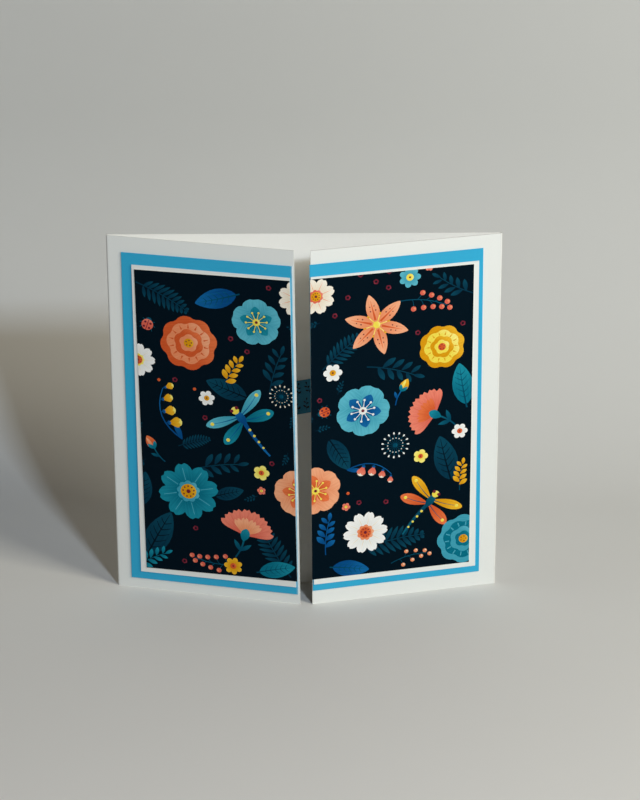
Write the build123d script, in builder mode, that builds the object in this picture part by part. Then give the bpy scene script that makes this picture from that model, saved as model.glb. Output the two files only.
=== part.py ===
"""A square gate-fold greeting card, standing part open on its lower edges.

One sheet of card is scored and folded twice into a back panel and two front flaps.
Each flap carries three glued layers, a blue mat, a white mat and a printed sheet,
and a strip of blue card is glued inside, on the back panel.

Millimetres. X runs to the right across the front, Y to the back and Z up. The origin is
under the middle of the standing card.
"""

import os
from math import cos, radians, sin

from build123d import *

os.makedirs("parts", exist_ok=True)

# Folded sheet
card_width = 139.7
card_height = 139.7
sheet_thickness = 0.40
fold_inner_radius = 0.25
flap_opening = 13.0

# Free edges of the flaps, as distances from the middle of the card
left_gap_top = 3.6
left_gap_bottom = 2.35
right_gap = 2.2

# Thickness of the glued layers
mat_thickness = 0.32
print_thickness = 0.20

# Left blue mat: white sheet left showing around it
left_blue_side = 5.4
left_blue_top = 5.9
left_blue_bottom = 4.1
left_blue_inset = 0.65

# Left white mat: blue left showing around it
left_white_side = 3.8
left_white_top = 4.3
left_white_bottom = 3.05
left_white_inset = 0.7

# Left print: white mat left showing on three sides, while the fourth stands out past the
# mat and is cut wider at the foot than at the head; and the print's turn as glued
left_print_side = 1.6
left_print_top = 1.25
left_print_bottom = 2.25
left_print_overhang = 0.28
left_print_flare = 0.6
left_print_turn = 0.6

# Right blue mat: it stands out past the flap's free edge, and is turned as glued
right_blue_side = 6.65
right_blue_top = 5.05
right_blue_bottom = 5.8
right_blue_overhang = 0.12
right_mats_turn = 0.25

# Right white mat
right_white_side = 1.55
right_white_top = 4.5
right_white_bottom = 2.7
right_white_inset = 0.3

# Right print: it too stands out past the flap's free edge, and covers the mats there
right_print_side = 2.2
right_print_top = 0.85
right_print_bottom = 2.1
right_print_overhang = 0.3

# Strip inside, on the back panel
label_length = 66.0
label_height = 13.2
label_middle_height = 76.5
label_turn = 10.0

# Folds: the sheet turns round a small inner radius until the flap stands off the back panel
opening_cos = cos(radians(flap_opening))
opening_sin = sin(radians(flap_opening))
fold_outer_radius = fold_inner_radius + sheet_thickness
fold_turn = 180 - flap_opening
fold_run = fold_outer_radius * (1 - opening_sin) / opening_cos
fold_rise = fold_outer_radius * opening_cos - fold_run * opening_sin

# Reach of each flap along its slope, from the outside of its fold
left_reach_top = (card_width / 2 - left_gap_top) / opening_cos
left_reach_bottom = (card_width / 2 - left_gap_bottom) / opening_cos
left_reach_middle = (left_reach_top + left_reach_bottom) / 2
right_reach = (card_width / 2 - right_gap) / opening_cos

# Heights of the layers above the front of a flap
white_level = mat_thickness
print_level = 2 * mat_thickness
stack_height = print_level + print_thickness

# Depth of the standing card, which the origin halves
right_print_reach = right_reach + right_print_overhang
front_depth = right_print_reach * opening_sin + stack_height * opening_cos
back_depth = fold_rise + fold_outer_radius
fold_y = (front_depth - back_depth) / 2
fold_center_y = fold_y + fold_rise
fold_center_x = card_width / 2 - fold_outer_radius
back_inside_y = fold_center_y + fold_inner_radius

LEFT = -1
RIGHT = 1


def flap_plane(side, level):
    """Plane along a flap's front, at a height above it.

    Its origin is at the foot of the flap's fold, X runs to the right along the slope,
    Y up and Z out of the card.
    """
    seat = Plane(
        origin=(side * card_width / 2, fold_y, 0),
        x_dir=(opening_cos, side * opening_sin, 0),
        z_dir=(side * opening_sin, -opening_cos, 0),
    )
    return seat.offset(level)


def glued_layer(name, side, level, thickness, outer, inner, bottom, top, turn=0.0):
    """One flat layer on a flap, from outer to inner along the slope and bottom to top.

    inner gives the reach at the lower and the upper edge, which differ where the layer
    is trimmed along the flap's own edge. turn is how far it was glued out of square.
    """
    inner_bottom, inner_top = inner
    middle = (outer + (inner_bottom + inner_top) / 2) / 2
    half_height = (top - bottom) / 2
    center = Location((-side * middle, bottom + half_height, 0), (0, 0, turn))
    with BuildPart() as layer:
        with BuildSketch(Plane(flap_plane(side, level).location * center)):
            with BuildLine():
                Polyline(
                    (side * (middle - outer), -half_height),
                    (side * (middle - inner_bottom), -half_height),
                    (side * (middle - inner_top), half_height),
                    (side * (middle - outer), half_height),
                    close=True,
                )
            make_face()
        extrude(amount=thickness)
    layer.part.label = name
    export_step(layer.part, f"parts/{name}.step")


# Card base: back panel with both folds, then each flap outline on its own slope
with BuildPart() as card_base:
    with BuildSketch(Plane.XY):
        with BuildLine():
            left_inner = CenterArc((-fold_center_x, fold_center_y), fold_inner_radius, 90, fold_turn)
            left_outer = CenterArc((-fold_center_x, fold_center_y), fold_outer_radius, 90, fold_turn)
            right_inner = CenterArc((fold_center_x, fold_center_y), fold_inner_radius, 90, -fold_turn)
            right_outer = CenterArc((fold_center_x, fold_center_y), fold_outer_radius, 90, -fold_turn)
            Line(left_outer @ 0, right_outer @ 0)
            Line(left_inner @ 0, right_inner @ 0)
            Line(left_inner @ 1, left_outer @ 1)
            Line(right_inner @ 1, right_outer @ 1)
        make_face()
    extrude(amount=card_height)
    for side, reach_bottom, reach_top in (
        (LEFT, left_reach_bottom, left_reach_top),
        (RIGHT, right_reach, right_reach),
    ):
        with BuildSketch(flap_plane(side, 0)):
            with BuildLine():
                Polyline(
                    (-side * fold_run, 0),
                    (-side * reach_bottom, 0),
                    (-side * reach_top, card_height),
                    (-side * fold_run, card_height),
                    close=True,
                )
            make_face()
        extrude(amount=-sheet_thickness)
card_base.part.label = "card_base"
export_step(card_base.part, "parts/card_base.step")

# Left flap: the two mats are trimmed along its leaning free edge
left_blue_top_z = card_height - left_blue_top
left_blue_inner_bottom = left_reach_bottom - left_blue_inset
left_blue_inner_top = left_reach_top - left_blue_inset
glued_layer(
    "left_blue_mat",
    LEFT,
    level=0,
    thickness=mat_thickness,
    outer=left_blue_side,
    inner=(left_blue_inner_bottom, left_blue_inner_top),
    bottom=left_blue_bottom,
    top=left_blue_top_z,
)

left_white_outer = left_blue_side + left_white_side
left_white_bottom_z = left_blue_bottom + left_white_bottom
left_white_top_z = left_blue_top_z - left_white_top
left_white_trim = left_blue_inset + left_white_inset
glued_layer(
    "left_white_mat",
    LEFT,
    level=white_level,
    thickness=mat_thickness,
    outer=left_white_outer,
    inner=(left_reach_bottom - left_white_trim, left_reach_top - left_white_trim),
    bottom=left_white_bottom_z,
    top=left_white_top_z,
)

left_print_inner = left_reach_middle - left_white_trim + left_print_overhang
glued_layer(
    "left_print",
    LEFT,
    level=print_level,
    thickness=print_thickness,
    outer=left_white_outer + left_print_side,
    inner=(left_print_inner + left_print_flare / 2, left_print_inner - left_print_flare / 2),
    bottom=left_white_bottom_z + left_print_bottom,
    top=left_white_top_z - left_print_top,
    turn=left_print_turn,
)

# Right flap: square layers, the two mats turned together
right_blue_inner = right_reach + right_blue_overhang
right_blue_top_z = card_height - right_blue_top
glued_layer(
    "right_blue_mat",
    RIGHT,
    level=0,
    thickness=mat_thickness,
    outer=right_blue_side,
    inner=(right_blue_inner, right_blue_inner),
    bottom=right_blue_bottom,
    top=right_blue_top_z,
    turn=right_mats_turn,
)

right_white_outer = right_blue_side + right_white_side
right_white_inner = right_blue_inner - right_white_inset
right_white_bottom_z = right_blue_bottom + right_white_bottom
right_white_top_z = right_blue_top_z - right_white_top
glued_layer(
    "right_white_mat",
    RIGHT,
    level=white_level,
    thickness=mat_thickness,
    outer=right_white_outer,
    inner=(right_white_inner, right_white_inner),
    bottom=right_white_bottom_z,
    top=right_white_top_z,
    turn=right_mats_turn,
)

glued_layer(
    "right_print",
    RIGHT,
    level=print_level,
    thickness=print_thickness,
    outer=right_white_outer + right_print_side,
    inner=(right_print_reach, right_print_reach),
    bottom=right_white_bottom_z + right_print_bottom,
    top=right_white_top_z - right_print_top,
)

# Strip inside, glued on the back panel at a slant
label_seat = Plane(origin=(0, back_inside_y, label_middle_height), x_dir=(1, 0, 0), z_dir=(0, -1, 0))
with BuildPart() as inside_label:
    with BuildSketch(label_seat):
        Rectangle(label_length, label_height, rotation=label_turn)
    extrude(amount=mat_thickness)
inside_label.part.label = "inside_label"
export_step(inside_label.part, "parts/inside_label.step")
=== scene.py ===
"""Looks of a square gate-fold greeting card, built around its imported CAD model.

The folded sheet and its mats keep their CAD shapes and are dressed as card stock. A dark floral
sheet is printed for each flap and a strip is stamped for the inside, and the card stands on a
pale studio sweep. Solids are in metres. Artwork is drawn in millimetres on a flat canvas, where a
point is a complex number: its real part runs to the right and its imaginary part up.
"""

import cmath
import logging
import math
import random
from collections.abc import Iterable, Iterator
from dataclasses import dataclass
from enum import Enum
from functools import cache

import bpy
from mathutils import Color, Matrix, Vector
from mathutils.geometry import delaunay_2d_cdt


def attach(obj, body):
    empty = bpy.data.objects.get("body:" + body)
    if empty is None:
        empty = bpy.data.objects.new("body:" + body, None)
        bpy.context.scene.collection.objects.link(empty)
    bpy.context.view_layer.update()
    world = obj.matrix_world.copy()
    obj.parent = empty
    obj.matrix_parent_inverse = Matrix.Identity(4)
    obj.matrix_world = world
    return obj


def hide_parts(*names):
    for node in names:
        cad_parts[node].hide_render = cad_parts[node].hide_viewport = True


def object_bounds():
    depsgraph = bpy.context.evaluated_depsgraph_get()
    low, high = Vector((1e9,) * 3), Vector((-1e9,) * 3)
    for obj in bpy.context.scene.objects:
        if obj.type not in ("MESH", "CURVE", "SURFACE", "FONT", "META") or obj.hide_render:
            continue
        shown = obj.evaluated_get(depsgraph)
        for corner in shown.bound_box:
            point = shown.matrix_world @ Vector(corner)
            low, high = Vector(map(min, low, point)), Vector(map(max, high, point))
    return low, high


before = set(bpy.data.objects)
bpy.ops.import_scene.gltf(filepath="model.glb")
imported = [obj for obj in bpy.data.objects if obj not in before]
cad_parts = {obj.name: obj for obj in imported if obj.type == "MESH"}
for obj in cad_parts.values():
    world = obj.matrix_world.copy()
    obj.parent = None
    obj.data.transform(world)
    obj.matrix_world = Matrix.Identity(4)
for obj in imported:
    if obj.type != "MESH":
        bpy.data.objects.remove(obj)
cad_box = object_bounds()

log = logging.getLogger("greeting_card")

Triple = tuple[float, float, float]
Rgb = tuple[int, int, int]
Rgba = tuple[float, float, float, float]
Socket = bpy.types.NodeSocket
Tint = Rgba | Socket
Value = float | tuple[float, ...] | Socket

MM = 0.001


def linear(color: Rgb) -> Rgba:
    """Display values, each 0 to 255, as a scene colour with full alpha."""
    return (*Color([value / 255 for value in color]).from_srgb_to_scene_linear(), 1.0)


def polar(radius: float, degrees: float) -> complex:
    """Point at a distance and an angle from the origin."""
    return cmath.rect(radius, math.radians(degrees))


# Inks of the print


@dataclass(frozen=True)
class Ink:
    """A printed colour, which shades along each stroke from its body to its tip."""

    body: Rgb
    tip: Rgb


NIGHT = Ink((1, 18, 29), (1, 18, 29))
DEEP = Ink((4, 50, 70), (8, 66, 86))
PINE = Ink((3, 68, 92), (10, 92, 114))
TEAL = Ink((6, 108, 130), (24, 136, 156))
LAGOON = Ink((62, 156, 178), (92, 182, 200))
BLUE = Ink((4, 72, 130), (16, 98, 158))
ORANGE = Ink((212, 88, 42), (232, 116, 66))
PEACH = Ink((236, 142, 96), (246, 172, 130))
CORAL = Ink((222, 100, 80), (238, 132, 108))
MUSTARD = Ink((220, 152, 14), (240, 182, 44))
LEMON = Ink((244, 222, 78), (252, 238, 130))
CREAM = Ink((238, 222, 194), (246, 238, 222))
CHALK = Ink((236, 237, 231), (246, 246, 242))
MAROON = Ink((110, 32, 48), (138, 50, 64))
SOOT = Ink((12, 13, 18), (20, 22, 28))


# Drawing on the flat canvas

PETAL_STEPS = 11
RIM_STEPS = 18
LOBE_STEPS = 7
LINE_STEPS = 8


@dataclass(frozen=True)
class Shape:
    """One closed field of ink: its outline, and the stroke that its shading follows."""

    outline: tuple[complex, ...]
    ink: Ink
    root: complex = 0j
    along: complex = 1 + 0j

    def moved(self, shift: complex, turn: complex = 1 + 0j) -> "Shape":
        """Copy turned and scaled about the origin, then shifted."""
        outline = tuple(shift + turn * point for point in self.outline)
        return Shape(outline, self.ink, shift + turn * self.root, turn * self.along)


Shapes = Iterator[Shape]


def petal(
    ink: Ink, length: float, width: float, belly: float = 1.0, fullness: float = 0.6, notch: float = 0.0
) -> Shape:
    """Draw a petal or leaf from its root at the origin to its tip along the real axis.

    Args:
        ink: Colour of the petal.
        length: From root to tip.
        width: Across the widest place.
        belly: Above 1 moves the widest place towards the tip.
        fullness: Below 1 rounds the ends, and 1 or more points them.
        notch: Share of the length that is cut back at the middle of the tip.

    Returns:
        The petal, shaded along its length.
    """
    upper = []
    for step in range(1, PETAL_STEPS):
        share = (1 - math.cos(math.pi * step / PETAL_STEPS)) / 2
        spread = math.sin(math.pi * share**belly) ** fullness
        upper.append(complex(length * share, width / 2 * spread))
    lower = [point.conjugate() for point in upper]
    tip = complex(length * (1 - notch), 0)
    return Shape((0j, *lower, tip, *reversed(upper)), ink, 0j, complex(length, 0))


def disc(ink: Ink, radius: float, lobes: int = 0, depth: float = 0.0) -> Shape:
    """Draw a round field about the origin, plain or scalloped.

    Args:
        ink: Colour of the disc.
        radius: Out to the tops of the lobes.
        lobes: Number of scallops, or 0 for a plain rim.
        depth: Share of the radius that the dips between lobes take.

    Returns:
        The disc, shaded from left to right.
    """
    steps = max(RIM_STEPS, LOBE_STEPS * lobes)
    outline = []
    for step in range(steps):
        angle = 360 * step / steps
        dip = 1 - abs(math.cos(math.radians(angle * lobes / 2))) ** 0.7
        outline.append(polar(radius * (1 - depth * dip), angle))
    return Shape(tuple(outline), ink, 0j, complex(radius, 0))


def curve(root: complex, bend: complex, tip: complex, share: float) -> complex:
    """Point at a share of the way along a line that a third point bends."""
    return (1 - share) ** 2 * root + 2 * share * (1 - share) * bend + share**2 * tip


def ribbon(ink: Ink, root: complex, bend: complex, tip: complex, start: float, end: float) -> Shape:
    """Draw a tapered brush line along a curve.

    Args:
        ink: Colour of the line.
        root: Where the line starts.
        bend: Point that pulls the curve.
        tip: Where the line ends.
        start: Width at the root.
        end: Width at the tip.

    Returns:
        The line, shaded from root to tip.
    """
    left, right = [], []
    for step in range(LINE_STEPS + 1):
        share = step / LINE_STEPS
        point = curve(root, bend, tip, share)
        course = (1 - share) * (bend - root) + share * (tip - bend)
        side = 1j * course / abs(course) * (start + (end - start) * share) / 2
        left.append(point + side)
        right.append(point - side)
    return Shape((*right, *reversed(left)), ink, root, tip - root)


def around(shape: Shape, count: int, radius: float = 0.0, start: float = 0.0) -> Shapes:
    """Repeat a shape round the origin.

    Args:
        shape: Drawn along the real axis.
        count: How many copies.
        radius: How far out each copy starts.
        start: Angle of the first copy, in degrees.

    Returns:
        The copies, in order.
    """
    for index in range(count):
        turn = polar(1, start + 360 * index / count)
        yield shape.moved(radius * turn, turn)


# Motifs of the print


@dataclass(frozen=True)
class Motif:
    """One motif: its middle on the canvas, its overall size in millimetres, and its turn."""

    x: float
    z: float
    size: float
    turn: float

    def shapes(self) -> Shapes:
        """Shapes of the motif at a size of 1, from the back to the front."""
        raise NotImplementedError

    def placed(self) -> Shapes:
        """Shapes of the motif where they lie on the canvas."""
        for shape in self.shapes():
            yield shape.moved(complex(self.x, self.z), polar(self.size, self.turn))


@dataclass(frozen=True)
class Cosmos(Motif):
    """Open flower of notched petals round a frilled heart."""

    petals: Ink
    vein: Ink
    frill: Ink
    heart: Ink
    count: int = 8

    def shapes(self) -> Shapes:
        """Draw the flower.

        Returns:
            Petals with a vein each, then the frill, the heart and its grains.
        """
        width = 2.3 / self.count
        yield from around(petal(self.petals, 0.5, width, belly=1.8, fullness=0.5, notch=0.06), self.count)
        yield from around(ribbon(self.vein, 0.2, 0.3, 0.41, 0.016, 0.006), self.count)
        yield disc(self.frill, 0.19, lobes=9, depth=0.2)
        yield disc(self.heart, 0.13)
        yield from around(disc(MAROON, 0.014), 9, radius=0.09)
        yield disc(MAROON, 0.035)


@dataclass(frozen=True)
class Blossom(Motif):
    """Flower of five broad petals with a flush at their roots and a ring of threads."""

    petals: Ink
    flush: Ink
    heart: Ink

    def shapes(self) -> Shapes:
        """Draw the flower.

        Returns:
            Petals, their flush, the threads with their grains, and the heart.
        """
        yield from around(petal(self.petals, 0.5, 0.5, belly=1.9, fullness=0.5, notch=0.04), 5)
        yield from around(petal(self.flush, 0.34, 0.2, belly=1.4, fullness=0.8), 5)
        yield from around(ribbon(self.heart, 0.04, 0.12, 0.2, 0.016, 0.01), 10, start=18)
        yield from around(disc(self.heart, 0.022), 10, radius=0.21, start=18)
        yield disc(self.heart, 0.075)
        yield disc(MAROON, 0.03)


@dataclass(frozen=True)
class Camellia(Motif):
    """Round flower of scalloped layers, each smaller and turned on the one below."""

    outer: Ink
    inner: Ink
    heart: Ink

    def shapes(self) -> Shapes:
        """Draw the flower.

        Returns:
            Layers from the widest to the narrowest, with brush marks between, then the heart.
        """
        yield disc(self.outer, 0.5, lobes=8, depth=0.13)
        yield disc(self.inner, 0.39, lobes=7, depth=0.15).moved(0j, polar(1, 12))
        yield from around(ribbon(self.outer, 0.27, 0.31, 0.35, 0.03, 0.012), 14, start=5)
        yield disc(self.outer, 0.26, lobes=6, depth=0.17).moved(0j, polar(1, 30))
        yield disc(self.inner, 0.165, lobes=5, depth=0.2).moved(0j, polar(1, 8))
        yield disc(self.heart, 0.085)
        yield from around(disc(MAROON, 0.012), 5, radius=0.05)


@dataclass(frozen=True)
class Lily(Motif):
    """Six-pointed flower with a light rib and freckles on each petal."""

    petals: Ink
    rib: Ink
    heart: Ink

    def shapes(self) -> Shapes:
        """Draw the flower.

        Returns:
            Three petals behind, three in front, then freckles, threads and the heart.
        """
        blade = petal(self.petals, 0.5, 0.2, belly=0.95, fullness=0.75)
        mark = ribbon(self.rib, 0.08, 0.22, 0.4, 0.035, 0.006)
        for start in (30, 90):
            yield from around(blade, 3, start=start)
            yield from around(mark, 3, start=start)
        for spread in (-10, 10):
            yield from around(disc(MAROON, 0.011), 6, radius=0.24, start=30 + spread)
            yield from around(disc(MAROON, 0.009), 6, radius=0.31, start=30 + 0.6 * spread)
        yield from around(ribbon(self.heart, 0.02, 0.1, 0.17, 0.012, 0.012), 6)
        yield from around(petal(MUSTARD, 0.05, 0.026), 6, radius=0.16)
        yield disc(self.heart, 0.055)


@dataclass(frozen=True)
class Carnation(Motif):
    """Fan-shaped flower on a leafy stem, seen from the side."""

    petals: Ink
    flush: Ink
    leaf: Ink = PINE

    def shapes(self) -> Shapes:
        """Draw the flower.

        Returns:
            Stem and leaves, the fan from its sides to its middle, then the cup.
        """
        yield ribbon(self.leaf, -0.5 + 0.05j, -0.3 - 0.03j, -0.08, 0.028, 0.03)
        leaf = petal(self.leaf, 0.24, 0.075, fullness=0.9)
        for side in (-1, 1):
            yield leaf.moved(-0.36 - 0.01j * side, polar(1, 42 * side))
        fan = petal(self.petals, 0.5, 0.21, belly=2.6, fullness=0.42, notch=0.12)
        fleck = petal(self.flush, 0.34, 0.13, belly=2.2, fullness=0.5, notch=0.14)
        for blade, angles in ((fan, (-64, 64, -43, 43, -21, 21, 0)), (fleck, (-40, 40, -14, 14))):
            for angle in angles:
                yield blade.moved(-0.05, polar(1, angle))
        yield petal(TEAL, 0.24, 0.16, belly=1.2).moved(-0.16)


@dataclass(frozen=True)
class Bells(Motif):
    """Arched stem with bell flowers hanging from it."""

    bell: Ink
    lip: Ink
    stem: Ink

    def shapes(self) -> Shapes:
        """Draw the stem of bells.

        Returns:
            Stem and root leaves, then each bell with its stalk, lip and clapper.
        """
        root, bend, tip = -0.5 - 0.16j, -0.1 + 0.34j, 0.46 + 0.06j
        yield petal(self.stem, 0.34, 0.1, fullness=0.9).moved(root, polar(1, 18))
        yield ribbon(self.stem, root, bend, tip, 0.03, 0.014)
        for share, length in ((0.36, 0.23), (0.58, 0.21), (0.8, 0.18), (1.0, 0.15)):
            top = curve(root, bend, tip, share)
            hang = polar(1, -96 + 22 * share)
            yield ribbon(self.stem, top, top + 0.03 * hang, top + 0.06 * hang, 0.014, 0.014)
            mouth = top + (0.04 + 0.72 * length) * hang
            cup = petal(self.bell, length, 0.86 * length, belly=2.3, fullness=0.5, notch=0.16)
            yield petal(self.lip, 0.4 * length, 0.6 * length, belly=1.2).moved(mouth, hang)
            yield cup.moved(top + 0.04 * hang, hang)
            yield petal(self.stem, 0.3 * length, 0.36 * length).moved(top + 0.03 * hang, hang)


@dataclass(frozen=True)
class Sprig(Motif):
    """Stem with paired leaves."""

    leaf: Ink = DEEP
    stem: Ink = DEEP
    pairs: int = 4
    slim: float = 0.36

    def shapes(self) -> Shapes:
        """Draw the sprig.

        Returns:
            Stem, leaf pairs that shorten towards the tip, and the end leaf.
        """
        yield ribbon(self.stem, -0.5, -0.1 + 0.07j, 0.36, 0.024, 0.012)
        for index in range(self.pairs):
            share = index / self.pairs
            length = 0.27 - 0.09 * share
            blade = petal(self.leaf, length, self.slim * length, belly=1.15, fullness=0.75)
            seat = complex(-0.32 + 0.66 * share, 0.05 * math.sin(math.pi * (0.25 + 0.75 * share)))
            for side in (-1, 1):
                yield blade.moved(seat + 0.04 * (side + 1), polar(1, 50 * side))
        yield petal(self.leaf, 0.2, 0.2 * self.slim, belly=1.15).moved(0.31)


@dataclass(frozen=True)
class BroadLeaf(Motif):
    """Broad leaf with a stalk, a rib and side veins."""

    blade: Ink = DEEP
    vein: Ink = NIGHT

    def shapes(self) -> Shapes:
        """Draw the leaf.

        Returns:
            Blade, rib with its stalk, and the veins that curve to the rim.
        """
        yield petal(self.blade, 0.92, 0.44, belly=0.85, fullness=0.72).moved(-0.42)
        yield ribbon(self.vein, -0.5, 0.02j, 0.44, 0.034, 0.008)
        for share in (0.16, 0.3, 0.44, 0.58, 0.72):
            seat = -0.42 + 0.92 * share
            reach = 0.2 * math.sin(math.pi * (0.12 + 0.86 * share) ** 0.85)
            for side in (-1, 1):
                tip = seat + polar(reach, 50 * side)
                yield ribbon(self.vein, seat, seat + polar(0.6 * reach, 58 * side), tip, 0.018, 0.008)


@dataclass(frozen=True)
class Fern(Motif):
    """Frond with many narrow leaflets."""

    leaf: Ink = DEEP
    pairs: int = 10

    def shapes(self) -> Shapes:
        """Draw the frond.

        Returns:
            Stem and leaflets, longest below the middle.
        """
        yield ribbon(self.leaf, -0.5, 0.06j, 0.48, 0.024, 0.008)
        for index in range(self.pairs):
            share = index / (self.pairs - 1)
            seat = complex(-0.36 + 0.78 * share, 0.03 * math.sin(math.pi * share))
            length = 0.05 + 0.19 * math.sin(math.pi * (0.28 + 0.68 * share))
            leaflet = petal(self.leaf, length, 0.058, belly=0.9, fullness=0.7)
            for side in (-1, 1):
                yield leaflet.moved(seat, polar(1, 56 * side))


@dataclass(frozen=True)
class Berries(Motif):
    """Branched stem with berries at its ends."""

    berry: Ink
    shine: Ink
    stem: Ink = PINE
    count: int = 9

    def shapes(self) -> Shapes:
        """Draw the branch.

        Returns:
            Stem, stalks to alternate sides, and a berry with its shine on each.
        """
        yield ribbon(self.stem, -0.5 - 0.06j, -0.05 + 0.1j, 0.4, 0.022, 0.01)
        for index in range(self.count):
            share = index / (self.count - 1)
            side = 1 if index % 2 else -1
            seat = complex(-0.3 + 0.68 * share, 0.03 * math.sin(math.pi * share))
            end = seat + polar(0.2 - 0.09 * share, side * (62 - 40 * share))
            yield ribbon(self.stem, seat, seat + 0.06, end, 0.012, 0.01)
            yield disc(self.berry, 0.052).moved(end)
            yield disc(self.shine, 0.018).moved(end + 0.014 + 0.016j)


@dataclass(frozen=True)
class Dragonfly(Motif):
    """Insect with four narrow wings and a banded tail."""

    fore: Ink
    hind: Ink
    body: Ink
    spot: Ink

    def shapes(self) -> Shapes:
        """Draw the insect.

        Returns:
            Wings with their ribs and spots, the tail and its bands, the chest, head and eyes.
        """
        for ink, length, width, seat, angle in (
            (self.hind, 0.45, 0.17, 0.1, 106),
            (self.fore, 0.5, 0.15, 0.17, 72),
        ):
            for side in (-1, 1):
                turn = polar(1, angle * side)
                yield petal(ink, length, width, belly=1.5, fullness=0.55).moved(seat, turn)
                rib = ribbon(self.body, 0.05, 0.2 + 0.02j * side, 0.8 * length, 0.014, 0.005)
                yield rib.moved(seat, turn)
                yield disc(self.spot, 0.026).moved(seat + 0.82 * length * turn)
        yield ribbon(self.body, 0.1, -0.2 + 0.05j, -0.5 + 0.02j, 0.062, 0.026)
        for share in (0.25, 0.42, 0.59, 0.76):
            band = complex(0.1 - 0.6 * share, 0.042 * share * (2 - share) / 2)
            yield disc(self.spot, 0.022 - 0.008 * share).moved(band)
        yield petal(self.body, 0.24, 0.12, belly=1.1).moved(0.03)
        yield disc(self.spot, 0.055).moved(0.28)
        for side in (-1, 1):
            yield disc(MAROON, 0.024).moved(0.3 + 0.042j * side)


@dataclass(frozen=True)
class Ladybird(Motif):
    """Small spotted beetle."""

    back: Ink

    def shapes(self) -> Shapes:
        """Draw the beetle.

        Returns:
            Legs, head, back, the line down it, and the spots.
        """
        for angle in (50, 90, 130):
            for side in (-1, 1):
                yield ribbon(PINE, 0.1, 0.2 + 0.1j * side, polar(0.5, angle * side), 0.05, 0.03)
        yield disc(PINE, 0.2).moved(0.28)
        yield disc(self.back, 0.36)
        yield ribbon(MAROON, -0.36, 0j, 0.34, 0.04, 0.05)
        for side in (-1, 1):
            for place in (-0.17, 0.13):
                yield disc(MAROON, 0.075).moved(complex(place, 0.17 * side))


@dataclass(frozen=True)
class SeedHead(Motif):
    """Ball of seeds on fine rays."""

    ray: Ink
    seed: Ink
    count: int = 15

    def shapes(self) -> Shapes:
        """Draw the seed head.

        Returns:
            Rays, two rings of seeds, and the heart.
        """
        yield from around(ribbon(self.ray, 0.05, 0.2, 0.44, 0.016, 0.012), self.count)
        yield from around(petal(self.seed, 0.1, 0.06, belly=1.3), self.count, radius=0.4)
        yield from around(disc(self.seed, 0.02), self.count, radius=0.27, start=180 / self.count)
        yield disc(self.ray, 0.08)


@dataclass(frozen=True)
class Posy(Motif):
    """Small flower of a few round petals."""

    petals: Ink
    heart: Ink
    count: int = 6

    def shapes(self) -> Shapes:
        """Draw the flower.

        Returns:
            Petals, then the heart.
        """
        yield from around(petal(self.petals, 0.5, 2.1 / self.count, belly=1.6, fullness=0.5), self.count)
        yield disc(self.heart, 0.17)
        yield disc(MAROON, 0.05)


@dataclass(frozen=True)
class Bud(Motif):
    """Closed bud on a short stem."""

    bud: Ink
    streak: Ink
    leaf: Ink = PINE

    def shapes(self) -> Shapes:
        """Draw the bud.

        Returns:
            Stem with a leaf, the bud with its streak, and the two leaves that hold it.
        """
        yield ribbon(self.leaf, -0.5 - 0.06j, -0.2 + 0.05j, 0.06, 0.04, 0.04)
        yield petal(self.leaf, 0.28, 0.1, fullness=0.85).moved(-0.28, polar(1, 44))
        yield petal(self.bud, 0.46, 0.3, belly=0.75, fullness=0.7).moved(0.03)
        yield petal(self.streak, 0.34, 0.1, belly=0.8, fullness=0.8).moved(0.1 + 0.03j, polar(1, 3))
        for side in (-1, 1):
            yield petal(TEAL, 0.26, 0.12, fullness=0.8).moved(0.01, polar(1, 30 * side))


@dataclass(frozen=True)
class Speck(Motif):
    """Tiny round mark between the motifs, plain or an open ring."""

    ink: Ink
    lobes: int = 0
    hole: float = 0.0

    def shapes(self) -> Shapes:
        """Draw the mark.

        Returns:
            Mark, and the ground inside a ring.
        """
        yield disc(self.ink, 0.5, self.lobes, depth=0.2)
        if self.hole:
            yield disc(NIGHT, self.hole)


# Layout of the print: x runs from the cut edges, negative on the left sheet, and z from their feet

BACKGROUND = (
    Fern(-47, 109, 22, -28),
    Fern(-8, 12, 24, 118),
    Sprig(-28, 44, 22, 12),
    Sprig(-6, 84, 20, 74),
    BroadLeaf(-52, 14, 22, 62),
    BroadLeaf(-24, 75, 17, 160),
    BroadLeaf(-57, 32, 15, 82),
    BroadLeaf(-25, 33.5, 12, 18),
    Fern(-37, 53, 13, 18),
    Fern(12, 90, 20, 40),
    Sprig(31, 80, 22, -16),
    BroadLeaf(50, 43, 20, 104),
    Fern(30, 12, 26, 8),
    Sprig(52, 112, 18, 150),
    BroadLeaf(10, 50, 16, -60),
)

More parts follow.
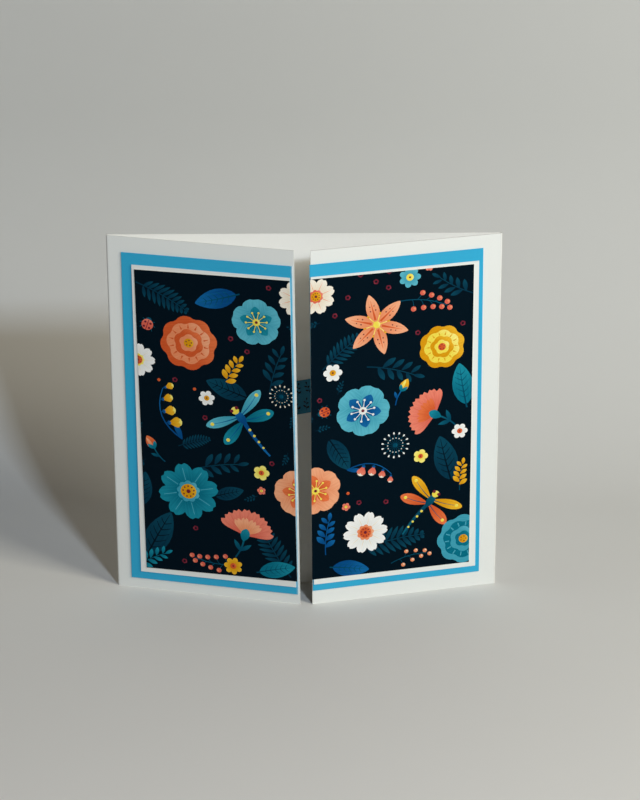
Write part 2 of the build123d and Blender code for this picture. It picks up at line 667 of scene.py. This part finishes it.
FLOWERS = (
    Camellia(-38, 92, 21, 8, ORANGE, PEACH, MUSTARD),
    Cosmos(-40, 33, 23, 12, TEAL, LAGOON, LAGOON, MUSTARD),
    Dragonfly(-17, 61, 27, 128, LAGOON, TEAL, BLUE, LEMON),
    Blossom(-13, 102, 18, 22, LAGOON, TEAL, LEMON),
    Bells(-46, 64, 21, 96, MUSTARD, LEMON, BLUE),
    Carnation(-19, 18, 22, 74, CORAL, PEACH),
    Cosmos(-57, 84, 13, 0, CHALK, CREAM, LEMON, ORANGE, 9),
    Blossom(1.5, 36, 19, 30, PEACH, ORANGE, LEMON),
    Lily(24, 99, 24, 14, PEACH, ORANGE, LEMON),
    Camellia(48, 88, 17, 20, MUSTARD, LEMON, ORANGE),
    Blossom(19, 66, 20, -8, LAGOON, BLUE, CHALK),
    Carnation(45, 62, 21, 152, CORAL, ORANGE),
    Cosmos(2, 112, 14, 20, CREAM, PEACH, CORAL, MUSTARD),
    Dragonfly(42, 24, 25, 52, MUSTARD, ORANGE, PINE, LEMON),
    Cosmos(20, 17, 17, 5, CHALK, CREAM, PEACH, ORANGE, 10),
    Bells(22, 42, 17, -24, CORAL, CREAM, BLUE),
    Camellia(57, 10, 20, 0, LAGOON, TEAL, MUSTARD),
)

SMALL = (
    BroadLeaf(-27, 110, 17, 196, BLUE, PINE),
    Sprig(-22, 82, 15, 60, MUSTARD, PINE, 4, 0.5),
    Bud(-52, 49, 12, 120, ORANGE, PEACH),
    Berries(-31, 5, 18, 172, CORAL, PEACH),
    Posy(-32, 71, 6, 10, CHALK, MUSTARD),
    Posy(-12.5, 43, 6, 0, LEMON, ORANGE, 5),
    SeedHead(-4.5, 74, 9, 0, PINE, CREAM),
    Ladybird(-53, 98, 6, 70, CORAL),
    Posy(-24, 4, 7, 20, MUSTARD, ORANGE, 7),
    BroadLeaf(-8, 4, 15, 14, TEAL, PINE),
    Sprig(-54, 4, 16, 30, TEAL, PINE, 4, 0.4),
    Berries(42, 106, 19, -14, CORAL, PEACH),
    BroadLeaf(56, 72, 18, 100, TEAL, PINE),
    SeedHead(31, 51, 10.5, 0, PINE, CHALK),
    Posy(8, 82, 7, 0, CHALK, MUSTARD),
    Bud(33, 72, 11, 62, MUSTARD, LEMON, BLUE),
    Sprig(6, 18, 17, 84, BLUE, BLUE, 4, 0.45),
    Posy(40.5, 45.5, 5.5, 0, LEMON, ORANGE, 5),
    Ladybird(5, 67, 5.5, 200, ORANGE),
    Sprig(56, 36.5, 13, 84, MUSTARD, PINE, 4, 0.5),
    Posy(36, 116, 8, 0, LAGOON, LEMON, 7),
    BroadLeaf(14, 3, 15, -10, BLUE, PINE),
    Berries(37, 5, 15, 8, PEACH, CREAM, PINE, 7),
    Posy(55, 54, 6, 0, CHALK, ORANGE),
)


@dataclass(frozen=True)
class Scatter:
    """Tiny marks in the dark ground between the motifs: each kind takes the draws below its limit."""

    width: float = 118.0
    height: float = 120.0
    tries: int = 900
    room: float = 2.3
    mark_reach: float = 2.6
    rings: float = 0.4
    posies: float = 0.6
    sprigs: float = 0.85
    seed: int = 11

    def motifs(self, placed: Iterable[Motif]) -> Iterator[Motif]:
        """Drop marks wherever there is room.

        Args:
            placed: Motifs that are already on the canvas.

        Returns:
            Rings, dots, sprigs and small flowers, clear of the motifs and of each other.
        """
        draw = random.Random(self.seed)
        taken = [(complex(motif.x, motif.z), 0.5 * motif.size) for motif in placed]
        for _ in range(self.tries):
            spot = complex((draw.random() - 0.5) * self.width, draw.random() * self.height)
            if any(abs(spot - middle) < reach + self.room for middle, reach in taken):
                continue
            taken.append((spot, self.mark_reach))
            kind = draw.random()
            turn = 360 * draw.random()
            if kind < self.rings:
                yield Speck(spot.real, spot.imag, 2.0, turn, MAROON, 5, 0.22)
            elif kind < self.posies:
                yield Posy(spot.real, spot.imag, 3.2, turn, CORAL, LEMON, 5)
            elif kind < self.sprigs:
                yield Sprig(spot.real, spot.imag, 5.5, turn, pairs=3, slim=0.5)
            else:
                yield Speck(spot.real, spot.imag, 1.2, turn, ORANGE)


# Ornament of the strip inside, drawn from its middle

STRIP_ORNAMENT = tuple(
    Sprig(3.5 * step - start, height, 5.2, 80 + 20 * (step % 2), SOOT, SOOT, 2, 0.5)
    for start, height, count in ((29.8, 3.1, 18), (28.0, -3.1, 17))
    for step in range(count)
)


# Finishes

FIBRE_SCALE = 1500.0
TOOTH_SCALE = 5200.0
CLOUD_SCALE = 45.0
PATCH_SCALE = 260.0
TOOTH_HEIGHT = 0.45
ROUGHNESS_SWING = 0.25
RELIEF_DEPTH = 0.02 * MM

BODY_LAYER = "ink_body"
TIP_LAYER = "ink_tip"
STROKE_MAP = "Stroke"

COLOR = "NodeSocketColor"
VALUE = "NodeSocketFloat"


class Board:
    """A node tree that is being wired."""

    def __init__(self, tree: bpy.types.NodeTree) -> None:
        """Start from an empty tree."""
        self.tree = tree
        tree.nodes.clear()

    def add(
        self, kind: str, inputs: dict[str | int, Value] | None = None, **settings: object
    ) -> bpy.types.Node:
        """Add a node.

        Args:
            kind: Node type, without its ShaderNode prefix.
            inputs: Value, or output socket to link, for each input by name or number.
            settings: The node's own properties.

        Returns:
            The new node.
        """
        node = self.tree.nodes.new(kind if kind.startswith("Node") else "ShaderNode" + kind)
        for name, value in settings.items():
            setattr(node, name, value)
        for key, value in (inputs or {}).items():
            socket = node.inputs[key]
            if isinstance(value, Socket):
                self.tree.links.new(value, socket)
            else:
                socket.default_value = value
        return node

    def place(self) -> Socket:
        """Place on the piece, which no pose moves."""
        return self.add("TexCoord").outputs["Object"]

    def axes(self, vector: Socket) -> bpy.types.bpy_prop_collection:
        """X, Y and Z of a vector."""
        return self.add("SeparateXYZ", {"Vector": vector}).outputs

    def math(self, operation: str, *values: float | Socket, clamp: bool = False) -> Socket:
        """Result of one operation on its values."""
        return self.add("Math", dict(enumerate(values)), operation=operation, use_clamp=clamp).outputs[0]

    def noise(self, place: Socket, scale: float, detail: float = 3.0, **more: float) -> Socket:
        """Noise over a place, round 0.5."""
        inputs = {"Vector": place, "Scale": scale, "Detail": detail, **more}
        return self.add("TexNoise", inputs).outputs["Fac"]

    def ramp(self, value: Socket, low: float, high: float, blend: str = "LINEAR") -> Socket:
        """Share that rises from 0 at the low value to 1 at the high one."""
        inputs = {"Value": value, "From Min": low, "From Max": high}
        return self.add("MapRange", inputs, interpolation_type=blend).outputs["Result"]

    def mix(self, share: Socket, first: Tint, second: Tint) -> Socket:
        """First colour where the share is 0, and second where it is 1."""
        return self.add("Mix", {"Factor": share, 6: first, 7: second}, data_type="RGBA").outputs[2]


def open_group(name: str, inputs: dict[str, str], outputs: dict[str, str]) -> Board:
    """Start a node group for materials to share.

    Args:
        name: Name of the group.
        inputs: Socket type of each input.
        outputs: Socket type of each output.

    Returns:
        The board of the empty group.
    """
    tree = bpy.data.node_groups.new(name, "ShaderNodeTree")
    for way, sockets in (("INPUT", inputs), ("OUTPUT", outputs)):
        for socket, kind in sockets.items():
            tree.interface.new_socket(socket, in_out=way, socket_type=kind)
    return Board(tree)


@cache
def paper_grain() -> bpy.types.NodeTree:
    """Build the grain that every paper here shares, once.

    Returns:
        A group that mottles a colour and puts out the height and the roughness of paper fibres.
    """
    board = open_group(
        "Paper grain",
        {"Color": COLOR, "Mottle": VALUE, "Roughness": VALUE},
        {"Color": COLOR, "Height": VALUE, "Roughness": VALUE},
    )
    given = board.add("NodeGroupInput").outputs
    place = board.place()
    fibres = board.noise(place, FIBRE_SCALE, 4.0, Roughness=0.6, Distortion=1.6)
    tooth = board.noise(place, TOOTH_SCALE, 2.0)
    cloud = board.noise(place, CLOUD_SCALE)
    swing = board.math("SUBTRACT", board.math("ADD", fibres, cloud), 1.0)
    value = board.math("MULTIPLY_ADD", swing, given["Mottle"], 1.0)
    tinted = board.add("HueSaturation", {"Color": given["Color"], "Value": value}).outputs["Color"]
    height = board.math("MULTIPLY_ADD", tooth, TOOTH_HEIGHT, fibres)
    uneven = board.math("SUBTRACT", tooth, 0.5)
    rough = board.math("MULTIPLY_ADD", uneven, ROUGHNESS_SWING, given["Roughness"])
    board.add("NodeGroupOutput", {"Color": tinted, "Height": height, "Roughness": rough})
    return board.tree


@cache
def edge_wear_and_highlight() -> bpy.types.NodeTree:
    """Build the wear along the card's folds and the painted highlight along the blue mat's trimmed edge,
    once.

    Returns:
        A group that lets a worn colour on the folds and a painted highlight on the trimmed edge through in
        patches, and most where Near is 1.
    """
    board = open_group(
        "Edge wear and highlight", {"Color": COLOR, "Worn and lit": COLOR, "Near": VALUE}, {"Color": COLOR}
    )
    given = board.add("NodeGroupInput").outputs
    share = board.math("MULTIPLY", given["Near"], board.noise(board.place(), PATCH_SCALE))
    board.add("NodeGroupOutput", {"Color": board.mix(share, given["Color"], given["Worn and lit"])})
    return board.tree


def wear_and_highlight(board: Board, clean: Tint, bared_and_lit: Rgb, near: Socket) -> Socket:
    """Clean colour with another bared in patches, most where near is 1: wear on the folds, and a painted
    highlight on the trimmed edge.
    """
    inputs = {"Color": clean, "Worn and lit": linear(bared_and_lit), "Near": near}
    return board.add("Group", inputs, node_tree=edge_wear_and_highlight()).outputs["Color"]


@dataclass(frozen=True, kw_only=True)
class Paper:
    """A paper finish with a fine tooth."""

    name: str
    mottle: float = 0.02
    roughness: float = 0.84
    relief: float = 0.25
    gloss: float = 0.3

    def tint(self, board: Board) -> Tint:
        """Colour of the sheet before its grain."""
        raise NotImplementedError

    def surface(self, board: Board, paper: Socket) -> Socket:
        """Shader that the material shows."""
        return paper

    @cache
    def material(self) -> bpy.types.Material:
        """Build the finish once.

        Returns:
            The material, with the shared grain on its colour, roughness and relief.
        """
        material = bpy.data.materials.new(self.name)
        material.use_nodes = True
        board = Board(material.node_tree)
        inputs = {"Color": self.tint(board), "Mottle": self.mottle, "Roughness": self.roughness}
        grain = board.add("Group", inputs, node_tree=paper_grain()).outputs
        inputs = {"Height": grain["Height"], "Strength": self.relief, "Distance": RELIEF_DEPTH}
        shader = board.add(
            "BsdfPrincipled",
            {
                "Base Color": grain["Color"],
                "Roughness": grain["Roughness"],
                "Normal": board.add("Bump", inputs).outputs["Normal"],
                "Specular IOR Level": self.gloss,
            },
        )
        board.add("OutputMaterial", {"Surface": self.surface(board, shader.outputs["BSDF"])})
        return material


@dataclass(frozen=True, kw_only=True)
class CardStock(Paper):
    """Plain card, dyed through."""

    color: Rgb

    def tint(self, board: Board) -> Tint:
        """Colour of the sheet before its grain."""
        return linear(self.color)


@dataclass(frozen=True, kw_only=True)
class StudioPaper(CardStock):
    """Smooth matt paper of the studio."""

    mottle: float = 0.012
    roughness: float = 0.9
    relief: float = 0.05


@dataclass(frozen=True, kw_only=True)
class BackdropPaper(StudioPaper):
    """Studio paper with painted shade that darkens it towards its back, and shows on its front side alone.
    """

    # Painted shade: the sheet darkens from its bright front colour to this colour at the wall.
    painted_shade_far_color: Rgb = (204, 204, 200)
    near_y: float = -0.15
    far_y: float = 0.19

    def tint(self, board: Board) -> Tint:
        """Sheet colour, with painted shade that darkens it from the front to the wall."""
        far = board.ramp(board.axes(board.place())["Y"], self.near_y, self.far_y)
        return board.mix(far, linear(self.color), linear(self.painted_shade_far_color))

    def surface(self, board: Board, paper: Socket) -> Socket:
        """Show paper on the front side and nothing on the other.

        Args:
            board: The material's tree.
            paper: Shader of the front side.

        Returns:
            The shader for both sides.
        """
        behind = board.add("NewGeometry").outputs["Backfacing"]
        nothing = board.add("BsdfTransparent").outputs["BSDF"]
        return board.add("MixShader", {0: behind, 1: paper, 2: nothing}).outputs["Shader"]


@dataclass(frozen=True, kw_only=True)
class FoldedStock(CardStock):
    """White card whose inside is painted lighter and warmer, as painted light where the lamps reach in and
    painted warm shade in the gap, and whose scored folds are worn along the spine.
    """

    # Painted light: the inside is lighter and warmer than the outside, standing in for lamp light on the
    # top inside and warm shade lower in the gap.
    painted_light_inside_color: Rgb = (254, 253, 247)
    sheet: float = 0.4 * MM
    opening: float = math.radians(13)
    back_y: float = cad_box[1][1]
    fold_depth: float = 1.167 * MM
    fold_x: float = cad_box[1][0]
    wear_and_highlight_width: float = 0.9 * MM
    wear_and_highlight_color: Rgb = (214, 214, 208)

    def tint(self, board: Board) -> Tint:
        """Colour each side, paint the inside lighter and warmer as painted light and warm shade, and grey
        it in patches along the two folds.

        A face is on the inside between the middle of the back panel and the middle of the flaps.

        Args:
            board: The material's tree.

        Returns:
            The sheet's colour.
        """
        slope = math.tan(self.opening)
        half = self.sheet / 2
        middle = self.back_y - self.fold_depth - slope * self.fold_x + half / math.cos(self.opening)
        spot = board.axes(board.place())
        away = board.math("ABSOLUTE", spot["X"])
        behind_flap = board.math("GREATER_THAN", spot["Y"], board.math("MULTIPLY_ADD", away, slope, middle))
        before_back = board.math("LESS_THAN", spot["Y"], self.back_y - half)
        inside = board.math("MULTIPLY", behind_flap, before_back)
        # Painted light and warm shade on the inside faces: lighter and warmer than the outside.
        sides = board.mix(inside, linear(self.color), linear(self.painted_light_inside_color))
        near = board.ramp(away, self.fold_x - self.wear_and_highlight_width, self.fold_x)
        return wear_and_highlight(board, sides, self.wear_and_highlight_color, near)


@dataclass(frozen=True, kw_only=True)
class BlueStock(CardStock):
    """Blue card, with more tooth than the white."""

    color: Rgb = (48, 173, 215)
    mottle: float = 0.06
    roughness: float = 0.8
    relief: float = 0.3


@dataclass(frozen=True, kw_only=True)
class EdgeHighlightStock(BlueStock):
    """Blue card painted pale along its trimmed edge, a painted highlight for the lit cut edges there; the
    edge leans as it rises.
    """

    edge_foot: float = -3.05 * MM
    edge_lean: float = -1.25 / 139.7
    wear_and_highlight_width: float = 0.6 * MM
    # Painted highlight: pale colour for the lit cut edges beside the trimmed edge.
    wear_and_highlight_color: Rgb = (208, 224, 226)

    def tint(self, board: Board) -> Tint:
        """Paint the colour paler in patches along the trimmed edge, as a painted highlight.

        Args:
            board: The material's tree.

        Returns:
            The sheet's colour.
        """
        spot = board.axes(board.place())
        edge = board.math("MULTIPLY_ADD", spot["Z"], self.edge_lean, self.edge_foot)
        near = board.ramp(board.math("SUBTRACT", spot["X"], edge), -self.wear_and_highlight_width, 0.0)
        return wear_and_highlight(board, linear(self.color), self.wear_and_highlight_color, near)


@dataclass(frozen=True, kw_only=True)
class PrintedInk(Paper):
    """Ink on paper: each field shades along its own stroke, with faint brush streaks."""

    streak: float = 0.16
    bristles: Triple = (1.6, 19.0, 1.0)
    fade_start: float = 0.1
    fade_break: float = 1.3

    def tint(self, board: Board) -> Tint:
        """Shade the ink in the sheet's own attributes along its stroke map.

        Args:
            board: The material's tree.

        Returns:
            The ink's colour.
        """
        body = board.add("Attribute", attribute_name=BODY_LAYER).outputs["Color"]
        tip = board.add("Attribute", attribute_name=TIP_LAYER).outputs["Color"]
        stroke = board.add("UVMap", uv_map=STROKE_MAP).outputs["UV"]
        fade = board.ramp(board.axes(stroke)["X"], self.fade_start, 1.0, "SMOOTHSTEP")
        brushed = board.add("Mapping", {"Vector": stroke, "Scale": self.bristles}).outputs["Vector"]
        lift = board.math("SUBTRACT", board.noise(brushed, 1.0), 0.5)
        share = board.math("MULTIPLY_ADD", lift, self.fade_break, fade, clamp=True)
        value = board.math("MULTIPLY_ADD", lift, self.streak, 1.0)
        shaded = board.mix(share, body, tip)
        return board.add("HueSaturation", {"Color": shaded, "Value": value}).outputs["Color"]


WHITE_CARD = CardStock(name="White card", color=(237, 239, 234))
FOLDED_CARD = FoldedStock(name="Folded white card", color=(236, 238, 233))
BLUE_CARD = BlueStock(name="Blue card")
EDGE_HIGHLIGHT_BLUE = EdgeHighlightStock(name="Blue card with painted edge highlight")
# Painted shade: the strip is the same blue card as the mats, made darker for the shade inside the card.
SHADE_DARKENED_STRIP_CARD = BlueStock(name="Blue card painted darker for shade", color=(56, 137, 170))
PAPER_CORE = CardStock(name="Paper core", color=(230, 230, 224), mottle=0.03, roughness=0.86)
PRINT = PrintedInk(name="Printed paper", mottle=0.05, roughness=0.42, relief=0.12, gloss=0.03)
STAMP = PrintedInk(name="Stamped ink", mottle=0.1, roughness=0.7, relief=0.2)
# The backdrop's colour is the bright front end of its painted shade.
BACKDROP_PAPER = BackdropPaper(name="Backdrop paper", color=(235, 234, 230))
GROUND_PAPER = StudioPaper(name="Ground paper", color=(214, 213, 208))


# Pieces

PRINT_THICKNESS = 0.2 * MM
STRIP_THICKNESS = 0.32 * MM

FACING = 0.9
CORNER_DIGITS = 7
GROUND_STROKE = 1000 + 0j
INSIDE_OUTLINES = 1
MERGE_DISTANCE = 1e-5


def edit_edges() -> None:
    """Go into edit mode for edges, with none selected."""
    bpy.ops.object.mode_set(mode="EDIT")
    bpy.ops.mesh.select_mode(type="EDGE")
    bpy.ops.mesh.select_all(action="DESELECT")


class Anchor(Enum):
    """Place where a sheet's artwork starts: an end of its lower edge, or its middle."""

    LEFT_END = "left end"
    RIGHT_END = "right end"
    MIDDLE = "middle"


class Coat(Enum):
    """Finish of a face of an inked sheet, by its number on the mesh."""

    GROUND = 0
    INK = 1
    CORE = 2


@dataclass
class FlatCard:
    """CAD layers that keep their shape and take a card finish."""

    stock: CardStock
    nodes: tuple[str, ...]

    def dress(self) -> None:
        """Give every layer its finish."""
        for node in self.nodes:
            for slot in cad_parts[node].material_slots:
                slot.material = self.stock.material()
            log.info("%s: %s", node, self.stock.name)


@dataclass(kw_only=True)
class InkedSheet:
    """A flat sheet with fields of ink on its front, in the place of a CAD layer."""

    name: str
    node: str
    slot: str
    anchor: Anchor
    ground: Paper
    ink: Paper
    artwork: tuple[Motif, ...]
    thickness: float
    ground_ink: Ink = NIGHT

    def front(self) -> tuple[list[Vector], Matrix]:
        """Find the CAD layer's front face.

        Returns:
            Its corners, anticlockwise from the lower left one, and the canvas's frame in metres:
            along the lower edge, up the sheet, out of it, and the place where the artwork starts.
        """
        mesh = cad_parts[self.node].data
        faces = [face for face in mesh.polygons if face.normal.y < -FACING]
        normal = faces[0].normal.copy()
        points = {
            tuple(round(value, CORNER_DIGITS) for value in mesh.vertices[number].co)
            for face in faces
            for number in face.vertices
        }
        corners = [Vector(point) for point in points]
        middle = sum(corners, Vector()) / len(corners)
        right = Vector((0, 0, 1)).cross(normal).normalized()
        above = normal.cross(right)
        corners.sort(key=lambda point: math.atan2((point - middle).dot(above), (point - middle).dot(right)))
        along = (corners[1] - corners[0]).normalized()
        starts = {Anchor.LEFT_END: corners[0], Anchor.RIGHT_END: corners[1], Anchor.MIDDLE: middle}
        turn = Matrix((along, normal.cross(along), normal)).transposed().to_4x4()
        return corners, Matrix.Translation(starts[self.anchor]) @ turn

    def fields(self, outline: list[complex]) -> tuple[list[Vector], list[list[int]], list[Shape]]:
        """Divide the sheet into fields that don't overlap, each with the ink on top there.

        Args:
            outline: The sheet on the canvas, in millimetres.

        Returns:
            Points, triangles, and the shape that each triangle belongs to.
        """
        shapes = [Shape(tuple(outline), self.ground_ink, 0j, GROUND_STROKE)]
        for motif in self.artwork:
            shapes.extend(motif.placed())
        points: list[Vector] = []
        loops: list[list[int]] = []
        for shape in shapes:
            first = len(points)
            points.extend(Vector((point.real, point.imag)) for point in shape.outline)
            loops.append(list(range(first, len(points))))
        spots, _, triangles, _, _, sources = delaunay_2d_cdt(
            points, [], loops, INSIDE_OUTLINES, MERGE_DISTANCE, True
        )
        kept = [(face, max(owners)) for face, owners in zip(triangles, sources) if 0 in owners]
        used = sorted({index for face, _ in kept for index in face})
        number = {index: place for place, index in enumerate(used)}
        faces = [[number[index] for index in face] for face, _ in kept]
        return [spots[index] for index in used], faces, [shapes[owner] for _, owner in kept]

    def build(self) -> bpy.types.Object:
        """Model the sheet and dress it.

        Returns:
            The closed sheet, which stands in for its CAD layer.
        """
        corners, seat = self.front()
        to_canvas = seat.inverted()
        outline = [complex(spot.x, spot.y) / MM for spot in (to_canvas @ corner for corner in corners)]
        points, faces, owners = self.fields(outline)
        mesh = bpy.data.meshes.new(self.name)
        mesh.from_pydata([seat @ Vector((x * MM, y * MM, 0)) for x, y in points], [], faces)
        self.ink_in(mesh, points, owners)
        piece = bpy.data.objects.new(self.name, mesh)
        bpy.context.collection.objects.link(piece)
        self.close_back(piece, seat.col[2].to_3d())
        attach(piece, "root")
        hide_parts(self.node)
        log.info("%s: %d motifs, %d faces", self.name, len(self.artwork), len(mesh.polygons))
        return piece

    def ink_in(self, mesh: bpy.types.Mesh, points: list[Vector], owners: list[Shape]) -> None:
        """Write each field's ink and stroke map, and give the ground its own finish.

        Args:
            mesh: Front of the sheet, in triangles.
            points: Its points on the canvas.
            owners: Shape that each triangle belongs to.
        """
        for stock in (self.ground, self.ink, PAPER_CORE):
            mesh.materials.append(stock.material())
        mesh.uv_layers.new(name=STROKE_MAP)
        for name in (BODY_LAYER, TIP_LAYER):
            mesh.color_attributes.new(name, "FLOAT_COLOR", "CORNER")
        stroke = mesh.uv_layers[STROKE_MAP]
        body = mesh.color_attributes[BODY_LAYER]
        tip = mesh.color_attributes[TIP_LAYER]
        for face, owner in zip(mesh.polygons, owners):
            coat = Coat.GROUND if owner.ink is self.ground_ink else Coat.INK
            face.material_index = coat.value
            for corner in face.loop_indices:
                x, y = points[mesh.loops[corner].vertex_index]
                place = (complex(x, y) - owner.root) / owner.along
                stroke.uv[corner].vector = (place.real, place.imag)
                body.data[corner].color = linear(owner.ink.body)
                tip.data[corner].color = linear(owner.ink.tip)

    def close_back(self, piece: bpy.types.Object, normal: Vector) -> None:
        """Give the sheet its thickness and a plain back.

        Args:
            piece: The sheet's front.
            normal: Direction out of the front.
        """
        bpy.ops.object.select_all(action="DESELECT")
        piece.select_set(True)
        bpy.context.view_layer.objects.active = piece
        edit_edges()
        bpy.ops.mesh.select_non_manifold()
        bpy.ops.mesh.extrude_edges_move(TRANSFORM_OT_translate={"value": -self.thickness * normal})
        bpy.ops.mesh.edge_face_add()
        bpy.ops.mesh.select_all(action="SELECT")
        bpy.ops.mesh.normals_make_consistent(inside=False)
        bpy.ops.object.mode_set(mode="OBJECT")
        for face in piece.data.polygons:
            if face.normal.dot(normal) < FACING:
                face.material_index = Coat.CORE.value


# Studio


@dataclass(frozen=True)
class Lamp:
    """A square soft light that is aimed at the card."""

    name: str
    place: Triple
    width: float
    power: float
    color: Triple

    def hang(self, aim: Vector) -> None:
        """Add the lamp and turn it.

        Args:
            aim: Point that it faces.
        """
        bpy.ops.object.light_add(type="AREA", location=self.place)
        lamp = bpy.context.object
        lamp.name = self.name
        lamp.data.shape = "SQUARE"
        lamp.data.size = self.width
        lamp.data.energy = self.power
        lamp.data.color = self.color
        lamp.rotation_euler = (aim - Vector(self.place)).to_track_quat("-Z", "Y").to_euler()


LAMPS = (
    Lamp("key_lamp", (0.566, -1.4, 1.05), width=0.16, power=13.3, color=(0.72, 0.84, 1.0)),
    Lamp("side_lamp", (0.944, -0.613, 0.72), width=0.45, power=9.7, color=(1.0, 0.95, 0.82)),
)


@dataclass
class Studio:
    """Pale sweep, soft lamps and the camera."""

    ambient: Triple = (1.0, 0.62, 0.3)
    ambient_strength: float = 0.055
    aim: Triple = (0, 0, 0.07)
    sweep_width: float = 1.4
    sweep_front: float = -3.0
    sweep_back: float = 0.19
    sweep_height: float = 0.28
    sweep_round: float = 0.12
    sweep_steps: int = 24
    ground_back: float = 3.0
    ground_drop: float = 0.002
    camera_place: Triple = (0.0047, -1.0204, 0.5546)
    camera_tilt: float = 65.002
    camera_yaw: float = -0.034
    camera_roll: float = -0.285
    lens: float = 141.435

    def pick_back(self, mesh: bpy.types.Mesh) -> None:
        """Select the floor's back edge, in edit mode.

        Args:
            mesh: Mesh of the active object.
        """
        edit_edges()
        bpy.ops.object.mode_set(mode="OBJECT")
        for edge in mesh.edges:
            ends = [mesh.vertices[number].co for number in edge.vertices]
            edge.select = all(end.y > self.sweep_back - MM and end.z < MM for end in ends)
        bpy.ops.object.mode_set(mode="EDIT")

    def sweep(self) -> None:
        """Model the floor and backdrop as one curved sheet."""
        bpy.ops.object.select_all(action="DESELECT")
        middle = (self.sweep_front + self.sweep_back) / 2
        bpy.ops.mesh.primitive_plane_add(size=1, location=(0, middle, 0))
        floor = bpy.context.object
        floor.name = "studio_sweep"
        floor.scale = (self.sweep_width, self.sweep_back - self.sweep_front, 1)
        bpy.ops.object.transform_apply(location=True, rotation=True, scale=True)
        self.pick_back(floor.data)
        bpy.ops.mesh.extrude_edges_move(TRANSFORM_OT_translate={"value": (0, 0, self.sweep_height)})
        self.pick_back(floor.data)
        bpy.ops.mesh.bevel(offset=self.sweep_round, segments=self.sweep_steps)
        bpy.ops.object.mode_set(mode="OBJECT")
        bpy.ops.object.shade_smooth()
        floor.data.materials.append(BACKDROP_PAPER.material())

    def ground(self) -> None:
        """Lay plain ground under and behind the sweep, for views from behind."""
        bpy.ops.object.select_all(action="DESELECT")
        bpy.ops.mesh.primitive_plane_add(size=2 * self.ground_back, location=(0, 0, -self.ground_drop))
        ground = bpy.context.object
        ground.name = "studio_ground"
        bpy.ops.object.transform_apply(location=True, rotation=True, scale=True)
        ground.data.materials.append(GROUND_PAPER.material())

    def light(self) -> None:
        """Set the dim warm room and hang the lamps."""
        world = bpy.data.worlds.new("Room")
        world.use_nodes = True
        bpy.context.scene.world = world
        background = world.node_tree.nodes["Background"]
        background.inputs["Color"].default_value = (*self.ambient, 1.0)
        background.inputs["Strength"].default_value = self.ambient_strength
        for lamp in LAMPS:
            lamp.hang(Vector(self.aim))

    def camera(self) -> None:
        """Set the camera where the photograph was taken."""
        bpy.ops.object.camera_add()
        camera = bpy.context.object
        camera.data.lens = self.lens
        yaw = Matrix.Rotation(math.radians(self.camera_yaw), 4, "Z")
        tilt = Matrix.Rotation(math.radians(self.camera_tilt), 4, "X")
        roll = Matrix.Rotation(math.radians(self.camera_roll), 4, "Z")
        camera.matrix_world = Matrix.Translation(self.camera_place) @ yaw @ tilt @ roll
        bpy.context.scene.camera = camera

    def build(self) -> None:
        """Set up everything round the card."""
        self.sweep()
        self.ground()
        self.light()
        self.camera()
        bpy.context.scene.view_settings.view_transform = "Standard"
        log.info("studio: sweep, lamps and camera")


def main() -> None:
    """Build the card's looks and the studio in order."""
    logging.basicConfig(level=logging.INFO, format="%(message)s")
    FlatCard(FOLDED_CARD, ("card_base",)).dress()
    # The left blue mat carries a painted highlight along its trimmed edge.
    FlatCard(EDGE_HIGHLIGHT_BLUE, ("left_blue_mat",)).dress()
    FlatCard(BLUE_CARD, ("right_blue_mat",)).dress()
    FlatCard(WHITE_CARD, ("left_white_mat", "right_white_mat")).dress()
    motifs = BACKGROUND + FLOWERS + SMALL
    artwork = (*Scatter().motifs(motifs), *motifs)
    for side, anchor in (("left", Anchor.RIGHT_END), ("right", Anchor.LEFT_END)):
        InkedSheet(
            name=f"{side}_floral_sheet",
            node=f"{side}_print",
            slot="printed_paper",
            anchor=anchor,
            ground=PRINT,
            ink=PRINT,
            artwork=artwork,
            thickness=PRINT_THICKNESS,
        ).build()
    InkedSheet(
        name="stamped_strip",
        node="inside_label",
        slot="blue_card",
        anchor=Anchor.MIDDLE,
        ground=SHADE_DARKENED_STRIP_CARD,
        ink=STAMP,
        artwork=STRIP_ORNAMENT,
        thickness=STRIP_THICKNESS,
    ).build()
    Studio().build()


if __name__ == "__main__":
    main()
